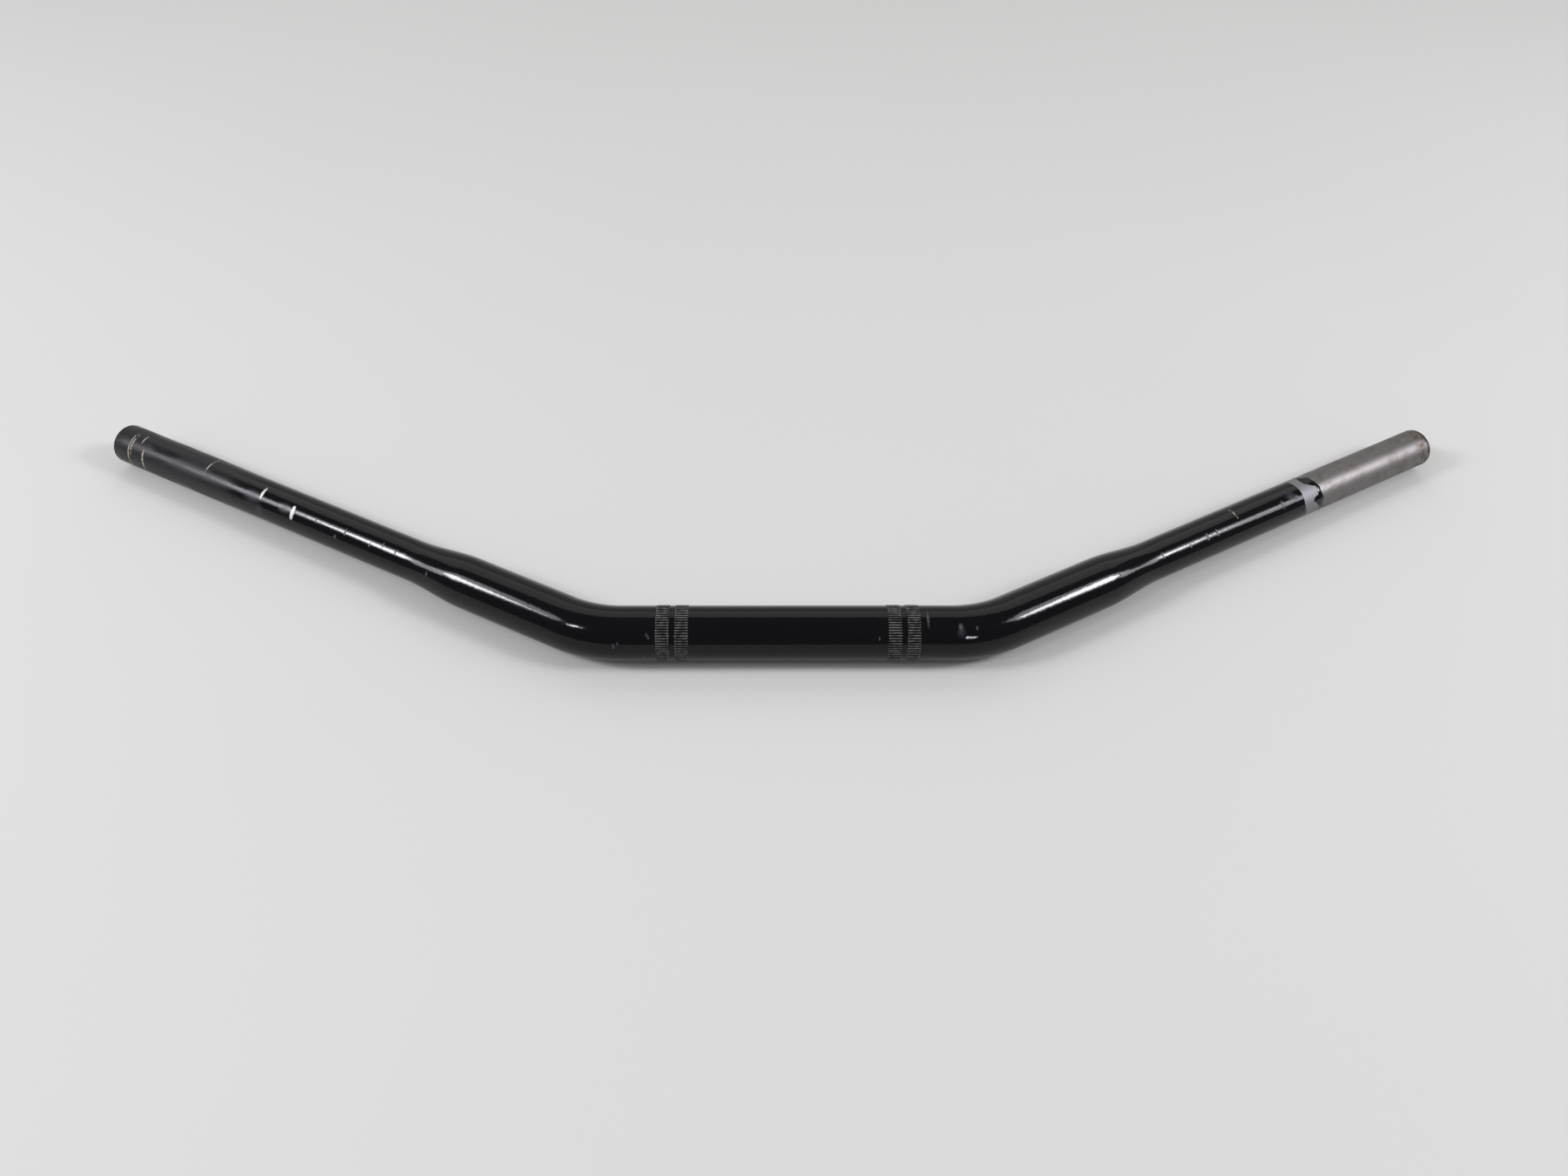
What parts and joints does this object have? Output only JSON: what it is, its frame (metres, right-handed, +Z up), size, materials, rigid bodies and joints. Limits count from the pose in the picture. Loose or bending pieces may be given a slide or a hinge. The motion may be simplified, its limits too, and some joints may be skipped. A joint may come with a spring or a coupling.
{
  "type": "motorcycle handlebar",
  "caption": "Drag-style motorcycle handlebar: a steel tube bent back at each side, thick and knurled where it is clamped, swaged down to the grips.",
  "frame": {"origin": "on the surface the bar lies on, under the middle of the bar's box", "axes": "+X along the bar to the throttle end, +Y the way the arms are pulled back, +Z up from the surface"},
  "size_m": [0.8812, 0.2022, 0.033],
  "materials": {
    "black_coat": "gloss black coating over steel, scratched, dulled by old grip glue at the left end",
    "bare_steel": "bare worn steel, brown-grey, with a brighter scraped ring where the coating stops"
  },
  "bodies": {
    "root": {"bar_tube": "black_coat", "left_end_insert": "bare_steel", "right_end_insert": "bare_steel"}
  },
  "joints": []
}
